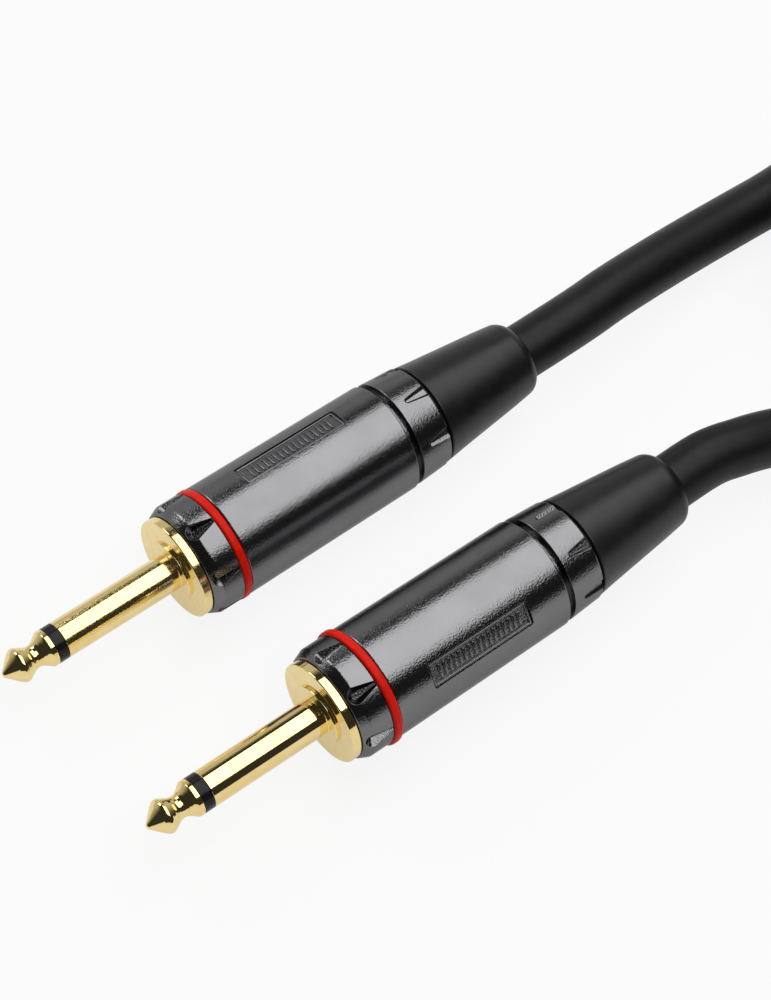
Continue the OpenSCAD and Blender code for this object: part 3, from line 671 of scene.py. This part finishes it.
# A run of the hank takes RUN_SHARE of a turn, a fold the rest of a half turn. The hank climbs by one
# layer after each LAYER_TURNS, CLIMBS times in all.
HANK_Y, RUN_X0, RUN_LEN = -22, 146, 82
FOLD_R, LOOP_STEP, LAYER_STEP, WAIST = 29.5, 10.7, 10.3, 3
RUN_SHARE, RINGS = 5 / 24, 24
TURNS = 5.5 + RUN_SHARE
LAYER_TURNS, CLIMBS = 1.5, 3
TIE_W, TIE_T, TIE_GAP, TAIL = 20, 1.4, 0.3, 46
BOTTOM = CABLE_D / 2
NEAR_TIE = 0.5 - TIE_W / RUN_LEN / 2
TIE_PULL = math.sin(math.pi * NEAR_TIE) ** 2
LIFT = (TIE_T + TIE_GAP) / TIE_PULL
IN_Y = HANK_Y + FOLD_R + LAYER_TURNS * LOOP_STEP
OUT_Y = HANK_Y - FOLD_R - LOOP_STEP
TOP = BOTTOM + CLIMBS * LAYER_STEP

ROUTE_A = [
    (26.75, 18.5, 10.1), (40, 18.5, 10.1), (52, 18.5, 10.1), (62, 18.6, 10.1), (68, 18.9, 9.9),
    (74, 19.4, 9.6), (84, 20.2, 8.4), (94, 20.9, 7), (104, 21.3, 5.8), (114, 21.4, 5.1),
    (123, 22, BOTTOM), (129, 22.9, BOTTOM), (134.5, IN_Y, BOTTOM),
]
ROUTE_B = [
    (28.25, -18.2, 10.4), (42, -18.2, 10.4), (52, -18.2, 10.4), (62, -18.2, 10.4), (68, -19.1, 9.6),
    (74, -20.2, 8.3), (80, -21.9, 6.6), (86, -25.8, 5.2), (91, -31.6, 5.4), (95, -38, 7.8),
    (99, -45.6, 12.4), (104, -52.8, 18.6), (111, -58.4, 25.4), (119, -61.2, 31.4), (127, -62, 34.9),
    (134.5, OUT_Y, TOP),
]


def spiral(u):
    """Loops outside the innermost one, at u turns: in, out and in again, held while a run climbs."""
    first, second, third = (k * LAYER_TURNS for k in (1, 2, 3))
    if u < first:
        return first - u
    if u < first + RUN_SHARE:
        return 0
    if u < second:
        return u - first - RUN_SHARE
    if u < second + RUN_SHARE:
        return LAYER_TURNS - RUN_SHARE
    if u < third:
        return third - u
    return max(0, u - third - RUN_SHARE)


def climb(t):
    """A smooth step from 0 to 1."""
    t = min(1, max(0, t))
    return t * t * (3 - 2 * t)


def hank_point(u):
    """A point of the hank at u turns: a run, a fold, the run back and the other fold."""
    v = u - math.floor(u)
    far = v >= 0.5
    w = v - 0.5 if far else v
    on_run = w < RUN_SHARE + 0.001
    f = w / RUN_SHARE if on_run else (w - RUN_SHARE) / (0.5 - RUN_SHARE)
    r = FOLD_R + LOOP_STEP * spiral(u)
    side = -1 if far else 1
    pull = math.sin(math.pi * f) ** 2 if on_run else 0
    level = sum(climb((u - LAYER_TURNS * (k + 1)) / RUN_SHARE) for k in range(CLIMBS))
    if on_run:
        x = RUN_X0 + RUN_LEN * (1 - f if far else f)
        y = side * (r - WAIST * pull)
    else:
        x = RUN_X0 - r * math.sin(math.pi * f) if far else RUN_X0 + RUN_LEN + r * math.sin(math.pi * f)
        y = side * r * math.cos(math.pi * f)
    return (x, HANK_Y + y, BOTTOM + LAYER_STEP * level + LIFT * pull)


def smooth_line(points, steps):
    """A smooth line through the points."""
    line = []
    ends = [points[0] * 2 - points[1]] + points + [points[-1] * 2 - points[-2]]
    for a, b, c, d in zip(ends, ends[1:], ends[2:], ends[3:]):
        for k in range(steps):
            t = k / steps
            bend = (2 * a - 5 * b + 4 * c - d) * t**2
            twist = (3 * b - a - 3 * c + d) * t**3
            line.append(0.5 * ((2 * b) + (c - a) * t + bend + twist))
    line.append(points[-1])
    return line


def cable():
    """The whole lead as one sweep: the first run, the hank and the second run."""
    turns = [hank_point(k / RINGS) for k in range(round(TURNS * RINGS) + 1)]
    points = [Vector(p) for p in ROUTE_A + turns + ROUTE_B[::-1]]
    line = smooth_line(points, 5)
    data = bpy.data.curves.new("cable", "CURVE")
    data.dimensions = "3D"
    data.bevel_depth = CABLE_D / 2 * MM
    data.bevel_resolution = 8
    data.use_fill_caps = True
    spline = data.splines.new("POLY")
    spline.points.add(len(line) - 1)
    for point, place in zip(spline.points, line):
        point.co = (*(place * MM), 1)
    piece = bpy.data.objects.new("cable", data)
    bpy.context.scene.collection.objects.link(piece)
    return piece


def strap():
    """The tie: a band around the hank with its tail lapped over the top."""
    half = LOOP_STEP * NEAR_TIE * RUN_SHARE
    y0 = OUT_Y + half + WAIST * TIE_PULL - CABLE_D / 2 - TIE_GAP
    y1 = IN_Y - half - WAIST * TIE_PULL + CABLE_D / 2 + TIE_GAP
    height = CABLE_D + CLIMBS * LAYER_STEP + LIFT + TIE_GAP - TIE_T
    middle = RUN_X0 + RUN_LEN / 2
    start_clean()
    bpy.ops.mesh.primitive_cube_add(size=1, location=(middle, (y0 + y1) / 2, TIE_T + height / 2))
    band = bpy.context.object
    band.name = "strap"
    band.scale = (TIE_W, y1 - y0, height)
    apply_place(band)
    bpy.ops.object.mode_set(mode="EDIT")
    pick(band, lambda c, face: abs(face.normal.x) > 0.9)
    bpy.ops.mesh.delete(type="FACE")
    pick(band, lambda c, edge: abs((edge.verts[0].co - edge.verts[1].co).x) > 1, "EDGE")
    bpy.ops.mesh.bevel(offset=5, segments=8)
    bpy.ops.object.mode_set(mode="OBJECT")
    modify(band, "SOLIDIFY", thickness=TIE_T - 0.1, offset=1)
    start_clean()
    tail_end = y1 - 5
    tail_z = height + 2 * TIE_T + 0.65
    bpy.ops.mesh.primitive_cube_add(size=1, location=(middle, tail_end - TAIL / 2, tail_z))
    tail = bpy.context.object
    tail.scale = (TIE_W - 1, TAIL, TIE_T - 0.2)
    apply_place(tail)
    bpy.ops.object.mode_set(mode="EDIT")
    pick(tail, lambda c, edge: upright(edge) > 0.5 and c.y < tail_end - 1, "EDGE")
    bpy.ops.mesh.bevel(offset=4, segments=6)
    bpy.ops.object.mode_set(mode="OBJECT")
    band = join([band, tail])
    band.name = "strap"
    modify(band, "BEVEL", width=0.35, segments=2, limit_method="ANGLE")
    outward(band)
    smooth(band, 40)
    band.scale = (MM, MM, MM)
    apply_place(band)
    return band


tie = strap()
finish_piece(tie, "root", STRAP, "tie_fabric", "cable_tie")

lead = cable()
finish_piece(lead, "root", JACKET, "cable_jacket", "cable_run_a", "cable_run_b", "cable_hank")

# ---- floor, studio and lamps ----


def math_node(tree, operation, first, **values):
    """A Math node: what feeds its first input, and its other inputs by letter, as links or numbers."""
    node = tree.nodes.new("ShaderNodeMath")
    node.operation = operation
    tree.links.new(first, node.inputs[0])
    for name, value in values.items():
        socket = node.inputs[{"b": 1, "c": 2}[name]]
        if isinstance(value, bpy.types.NodeSocket):
            tree.links.new(value, socket)
        else:
            socket.default_value = value
    return node.outputs[0]


def floor_paper():
    """White paper: plain to lamps and shadows, partly glowing where the camera or a mirror looks at it."""
    camera_share, mirror_share, white = 0.88, 0.5, (0.92, 0.92, 0.92, 1)
    paper = new_material("floor_paper", Roughness=0.9, Specular_IOR_Level=0.1, Base_Color=white)
    tree = paper.node_tree
    rays = tree.nodes.new("ShaderNodeLightPath")
    mirrored = math_node(tree, "MULTIPLY", rays.outputs["Is Glossy Ray"], b=mirror_share)
    share = math_node(tree, "MULTIPLY_ADD", rays.outputs["Is Camera Ray"], b=camera_share, c=mirrored)
    glow = tree.nodes.new("ShaderNodeEmission")
    glow.inputs["Color"].default_value = (1, 1, 1, 1)
    blend = tree.nodes.new("ShaderNodeMixShader")
    tree.links.new(share, blend.inputs["Fac"])
    tree.links.new(tree.nodes["Principled BSDF"].outputs[0], blend.inputs[1])
    tree.links.new(glow.outputs[0], blend.inputs[2])
    tree.links.new(blend.outputs[0], tree.nodes["Material Output"].inputs["Surface"])
    return paper


def smooth_range(tree, value, start, end, top):
    """A smooth step of a value between two limits, up to a level."""
    node = tree.nodes.new("ShaderNodeMapRange")
    node.interpolation_type = "SMOOTHSTEP"
    node.inputs["From Min"].default_value = start
    node.inputs["From Max"].default_value = end
    node.inputs["To Max"].default_value = top
    tree.links.new(value, node.inputs["Value"])
    return node.outputs[0]


def studio():
    """White to the camera. Around the plugs, a pale wall behind that fades upwards and to the front."""
    wall_side, wall_level, dark_level = Vector((0.35, 0.94, 0)).normalized(), 0.64, 0.04
    world = bpy.data.worlds.new("studio")
    bpy.context.scene.world = world
    world.use_nodes = True
    tree = world.node_tree
    tree.nodes.clear()
    coords = tree.nodes.new("ShaderNodeTexCoord")
    facing = tree.nodes.new("ShaderNodeVectorMath")
    facing.operation = "DOT_PRODUCT"
    facing.inputs[1].default_value = wall_side
    tree.links.new(coords.outputs["Generated"], facing.inputs[0])
    height = tree.nodes.new("ShaderNodeSeparateXYZ")
    tree.links.new(coords.outputs["Generated"], height.inputs[0])
    side = smooth_range(tree, facing.outputs["Value"], -0.1, 0.7, wall_level)
    low = smooth_range(tree, height.outputs["Z"], 0.7, 0.42, 1)
    wall = math_node(tree, "MULTIPLY_ADD", side, b=low, c=dark_level)
    rays = tree.nodes.new("ShaderNodeLightPath")
    level = tree.nodes.new("ShaderNodeMix")
    tree.links.new(rays.outputs["Is Camera Ray"], level.inputs["Factor"])
    tree.links.new(wall, level.inputs["A"])
    level.inputs["B"].default_value = 1
    background = tree.nodes.new("ShaderNodeBackground")
    tree.links.new(level.outputs["Result"], background.inputs["Strength"])
    output = tree.nodes.new("ShaderNodeOutputWorld")
    tree.links.new(background.outputs[0], output.inputs["Surface"])


def softbox(name, place, width, height, radiance):
    """A lamp that faces the middle. Its power follows from how bright its face is to be."""
    data = bpy.data.lights.new(name, "AREA")
    data.shape = "RECTANGLE"
    data.size, data.size_y = width, height
    data.energy = radiance * math.pi * width * height
    lamp = bpy.data.objects.new(name, data)
    bpy.context.scene.collection.objects.link(lamp)
    lamp.location = place
    lamp.rotation_euler = (-Vector(place)).to_track_quat("-Z", "Y").to_euler()


start_clean()
bpy.ops.mesh.primitive_plane_add(size=6, location=(0, 0, -0.0001))
floor = bpy.context.object
floor.name = "floor"
floor.data.materials.append(floor_paper())
studio()
softbox("overhead_box", (0.30, -0.12, 0.80), 1.17, 0.72, 2.3)
softbox("back_box", (-0.06, 0.85, 0.78), 0.62, 0.42, 3.0)

bpy.context.scene.view_settings.view_transform = "Standard"
